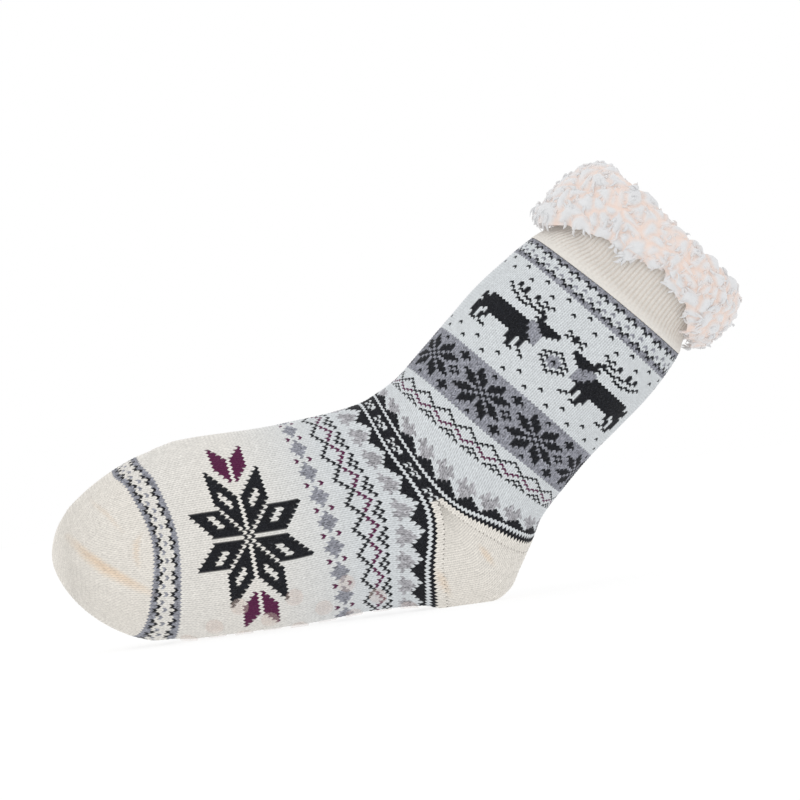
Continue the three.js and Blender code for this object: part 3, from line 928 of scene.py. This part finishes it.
def fleece_locks(name, seed):
    """Locks of pile: soft tapering curled strands that lie over the tufts they belong to."""
    rng = np.random.default_rng(seed)
    turn, t = spread_places(rng, LOCKS, 5, 0.1)
    root = collar_roll_point(turn, t)
    down, side, out = roll_frame(turn, t)
    height, home = tuft_height(root)
    root = root + out * (height * TUFT_HEIGHT - LOCK_SUNK)[:, None]
    edge = np.clip((t - 0.8) / 0.2, 0, 1)
    length = rng.uniform(3.0, 5.5, LOCKS) * (1 + 0.35 * edge)
    direction = lock_directions(rng, root, out, down, side, edge, home)
    curl = np.cross(direction, rng.normal(size=root.shape))
    curl /= np.linalg.norm(curl, axis=1, keepdims=True)
    bend = np.cross(direction, curl)
    radius = rng.uniform(0.6, 1.2, LOCKS)
    rings = []
    for k in range(LOCK_SEGMENTS + 1):
        share = k / LOCK_SEGMENTS
        sway = rng.uniform(0.8, 1.2, LOCKS) * math.sin(share * 4.0) * share * LOCK_SWAY
        spine = root + direction * (length * share)[:, None] + curl * sway[:, None]
        spine = spine - out * (share * share * LOCK_DROOP)
        width = np.maximum(radius * (1 - share) ** 0.6 * (0.6 + 0.7 * math.sin(math.pi * share)), 0.05)
        for corner in range(LOCK_SIDES):
            angle = 2 * math.pi * corner / LOCK_SIDES
            spoke = curl * math.cos(angle) + bend * math.sin(angle)
            rings.append(spine + spoke * width[:, None])
    points = np.array(rings).transpose(1, 0, 2).reshape(-1, 3)
    # Painted shade: peach towards the roots of the locks, most where they stand low between tufts
    rootward = 1 - np.repeat(np.arange(LOCK_SEGMENTS), LOCK_SIDES) / LOCK_SEGMENTS
    peach_shade = np.clip(0.5 - 0.8 * height + rng.normal(0, 0.06, LOCKS), 0, 1)[:, None] * rootward
    return mesh_object(name, points, lock_facets(LOCKS), pile_colours(peach_shade.reshape(-1, 1)))


class Socket:
    """An output of the shader maths, so that it can be written as plain sums."""

    def __init__(self, maker, output):
        self.maker = maker
        self.output = output

    def _maths(self, operation, *values):
        return self.maker.node("ShaderNodeMath", {"operation": operation}, values)

    def __add__(self, other):
        return self._maths("ADD", self, other)

    def __radd__(self, other):
        return self._maths("ADD", other, self)

    def __sub__(self, other):
        return self._maths("SUBTRACT", self, other)

    def __rsub__(self, other):
        return self._maths("SUBTRACT", other, self)

    def __mul__(self, other):
        return self._maths("MULTIPLY", self, other)

    def __rmul__(self, other):
        return self._maths("MULTIPLY", other, self)

    def clipped(self):
        return self._maths("MINIMUM", self._maths("MAXIMUM", self, 0.0), 1.0)


class Material:
    """One procedural material and its nodes."""

    def __init__(self, name, **constants):
        self.material = bpy.data.materials.new(name)
        self.material.use_nodes = True
        self.tree = self.material.node_tree
        self.shader = self.tree.nodes["Principled BSDF"]
        for socket, value in constants.items():
            self.shader.inputs[socket.replace("_", " ")].default_value = value

    def node(self, kind, settings, values, output=0):
        made = self.tree.nodes.new(kind)
        for name, value in settings.items():
            setattr(made, name, value)
        places = values.items() if isinstance(values, dict) else enumerate(values)
        for place, value in places:
            if isinstance(value, Socket):
                self.tree.links.new(value.output, made.inputs[place])
            else:
                made.inputs[place].default_value = value
        return Socket(self, made.outputs[output])

    def noise(self, scale, detail=2.0):
        place = self.node("ShaderNodeTexCoord", {}, {}, "Object")
        return self.node("ShaderNodeTexNoise", {}, {"Vector": place, "Scale": scale, "Detail": detail})

    def yarn(self):
        return self.node("ShaderNodeAttribute", {"attribute_name": "yarn"}, {}, "Color")

    def grey(self, value):
        return self.node("ShaderNodeCombineColor", {}, (value, value, value))

    def tint(self, factor, a, b, blend="MIX"):
        settings = {"data_type": "RGBA", "blend_type": blend}
        return self.node("ShaderNodeMix", settings, {0: factor, 6: a, 7: b}, 2)

    def bump(self, height, strength, distance):
        values = {"Strength": strength, "Distance": distance, "Height": height}
        return self.node("ShaderNodeBump", {}, values)

    def feed(self, socket, value):
        self.tree.links.new(value.output, self.shader.inputs[socket])


def knit_material():
    """Soft spun yarn: a little uneven in tone, fuzzy, with fine fibres along it and painted specks of
    highlight.
    """
    knit = Material("spun yarn", Roughness=0.95, Specular_IOR_Level=0.2, Sheen_Weight=0.1,
                    Sheen_Roughness=0.5)
    uneven = knit.grey(knit.noise(900.0, 3.0) * 0.3 + 0.86)
    # Painted highlight: fine light specks added to the yarn's colour, which show most on dark yarn
    painted_glints = knit.grey(((knit.noise(2200.0, 1.0) - 0.54) * 0.16).clipped())
    spun = knit.tint(1.0, knit.yarn(), uneven, "MULTIPLY")
    knit.feed("Base Color", knit.tint(1.0, spun, painted_glints, "ADD"))
    fibres = knit.noise(2600.0, 4.0)
    knit.feed("Normal", knit.bump(fibres, 0.5, 0.0004))
    return knit.material


def fleece_material(name, painted_glow):
    """Fleece pile: pale and matt, with a painted glow that stands in for the light passing through loose
    pile.
    """
    fleece = Material(name, Roughness=1.0, Specular_IOR_Level=0.1, Sheen_Weight=0.35,
                      Sheen_Roughness=0.6, Emission_Strength=painted_glow)
    uneven = fleece.grey(fleece.noise(300.0, 3.0) * 0.1 + 0.95)
    pile = fleece.tint(1.0, fleece.yarn(), uneven, "MULTIPLY")
    fleece.feed("Base Color", pile)
    # Painted glow: the pile gives out light of its own colour
    fleece.feed("Emission Color", pile)
    fibres = fleece.noise(750.0, 5.0)
    fleece.feed("Normal", fleece.bump(fibres, 0.55, 0.0007))
    return fleece.material


def grip_material():
    """Printed rubber, nearly clear, glossy enough to show a sheen over dark yarn."""
    grip = Material("printed rubber", Roughness=0.25, Alpha=0.12)
    cloud = grip.noise(400.0)
    grip.feed("Base Color", grip.tint(cloud.clipped(), (0.7, 0.6, 0.6, 1), (0.9, 0.7, 0.58, 1)))
    return grip.material


def floor_material():
    """A white floor that only takes a faint shadow."""
    floor = Material("white floor", Roughness=1.0, Base_Color=(0.22, 0.22, 0.22, 1), Specular_IOR_Level=0.0,
                     Emission_Color=(1, 1, 1, 1), Emission_Strength=0.8)
    return floor.material


# Pieces
KNIT = knit_material()
# Both pile materials carry a painted glow, strong on the fleece and faint on the lining
FLEECE = fleece_material("fleece pile", 0.35)
LINING = fleece_material("lining pile", 0.06)
GRIP = grip_material()

# The heel's panel reaches one stitch under the foot and the leg on both sides, a little sunk
toe = knit_panel("toe_cap", TOE_COURSES, Canvas(TOE_ROWS, "c"))
foot = knit_panel("foot_knit", FOOT_COURSES, foot_canvas())
heel = knit_panel("heel_cup", HEEL_COURSES, Canvas(HEEL_ROWS, "c"), HEEL_WALES.start - 1, 62, sunk=0.15)
leg = knit_panel("leg_knit", LEG_COURSES, leg_canvas())
cuff = rib_cuff()
lining = inner_pile()
fleece = [fleece_skin(), fleece_locks("fleece_locks_a", 11), fleece_locks("fleece_locks_b", 12)]

for piece in (toe, foot, heel, leg, cuff):
    piece.data.materials.append(KNIT)
    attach(piece, "root")
    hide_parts("knit_upper")
lining.data.materials.append(LINING)
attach(lining, "root")
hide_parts("knit_upper")
for piece in fleece:
    piece.data.materials.append(FLEECE)
    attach(piece, "root")
    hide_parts("fleece_collar")
for name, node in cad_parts.items():
    if name.startswith("grip_dot"):
        node.data.materials.clear()
        node.data.materials.append(GRIP)

# Floor, light and camera
FLOOR_RADIUS = 3.0
FLOOR_SIDES = 96
floor_turns = np.arange(FLOOR_SIDES) / FLOOR_SIDES * 2 * math.pi
floor_ring = [(FLOOR_RADIUS * math.cos(turn), FLOOR_RADIUS * math.sin(turn), 0.0) for turn in floor_turns]
floor_mesh = bpy.data.meshes.new("floor")
floor_mesh.from_pydata(floor_ring, [], [list(range(FLOOR_SIDES))])
floor = bpy.data.objects.new("floor", floor_mesh)
bpy.context.collection.objects.link(floor)
floor.data.materials.append(floor_material())

world = bpy.data.worlds.new("white studio")
bpy.context.scene.world = world
world.use_nodes = True
world.node_tree.nodes["Background"].inputs["Color"].default_value = (1, 1, 1, 1)
world.node_tree.nodes["Background"].inputs["Strength"].default_value = 1.0


def softbox(name, place, aim, size, watts):
    """A square soft light aimed at a point."""
    light = bpy.data.lights.new(name, "AREA")
    light.shape = "SQUARE"
    light.size = size
    light.energy = watts
    obj = bpy.data.objects.new(name, light)
    obj.location = place
    obj.rotation_euler = (Vector(aim) - Vector(place)).to_track_quat("-Z", "Y").to_euler()
    bpy.context.collection.objects.link(obj)
    return obj


softbox("key", (-0.6, -0.9, 1.0), (0, 0, 0.1), 0.5, 1.6)

# The photograph looks square at the sock's side, with the sock tipped by its standing angle
CAMERA_AIM = Vector((-0.0203, 0.0, 0.1058))
CAMERA_DISTANCE = 2.4543
CAMERA_ROLL = math.radians(7.6)
camera_data = bpy.data.cameras.new("camera")
camera_data.lens = 220.0
camera_data.sensor_width = 36.0
camera = bpy.data.objects.new("camera", camera_data)
right = Vector((math.cos(CAMERA_ROLL), 0, -math.sin(CAMERA_ROLL)))
upward = Vector((math.sin(CAMERA_ROLL), 0, math.cos(CAMERA_ROLL)))
toward = Vector((0, -1, 0))
camera.matrix_world = Matrix.Translation(CAMERA_AIM + toward * CAMERA_DISTANCE) @ Matrix(
    (right, upward, toward)).transposed().to_4x4()
bpy.context.collection.objects.link(camera)
bpy.context.scene.camera = camera
bpy.context.scene.view_settings.view_transform = "Standard"
